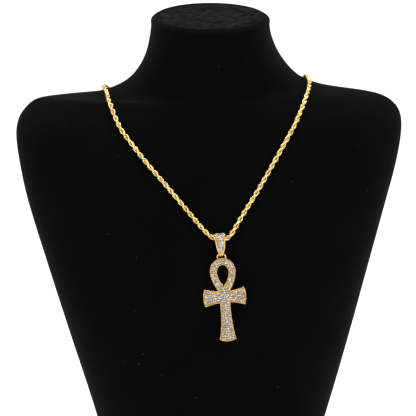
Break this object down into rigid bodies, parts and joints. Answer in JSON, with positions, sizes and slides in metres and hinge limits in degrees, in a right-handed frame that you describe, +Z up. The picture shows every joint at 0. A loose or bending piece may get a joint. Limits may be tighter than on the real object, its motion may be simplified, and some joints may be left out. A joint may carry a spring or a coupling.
{
  "type": "ankh pendant necklace on a neck bust",
  "caption": "Pavé ankh pendant that hangs by a stone-set bail from a V of rope chain, worn by a velvet neck bust with a flat base.",
  "frame": {"origin": "on the flat base of the neck bust, under the middle of the neck", "axes": "+Z up, -Y the front of the chest that the pendant lies on, +X the wearer's left"},
  "size_m": [0.2633, 0.1301, 0.3056],
  "materials": {
    "velvet": "black velvet, napped",
    "chain_gold": "polished yellow gold",
    "pendant_gold": "polished yellow gold",
    "stone": "cut and polished, colourless"
  },
  "bodies": {
    "bust": {"neck_bust": "velvet", "rope_chain": "chain_gold", "clasp": "chain_gold"},
    "bail": {"bail": "pendant_gold", "bail_stones": "stone"},
    "ankh": {"ankh_frame": "pendant_gold", "ankh_stones": "stone"}
  },
  "joints": [
    {"name": "bail_swing", "type": "hinge", "parent": "bust", "child": "bail", "pos_m": [0.0065, -0.0592, 0.1615], "axis": [-0.9968, -0.016, -0.0786], "range_deg": [0, 75]},
    {"name": "ankh_swing", "type": "hinge", "parent": "bail", "child": "ankh", "pos_m": [0.00731, -0.05984, 0.1513], "axis": [-0.9968, -0.016, -0.0786], "range_deg": [0, 50]}
  ]
}
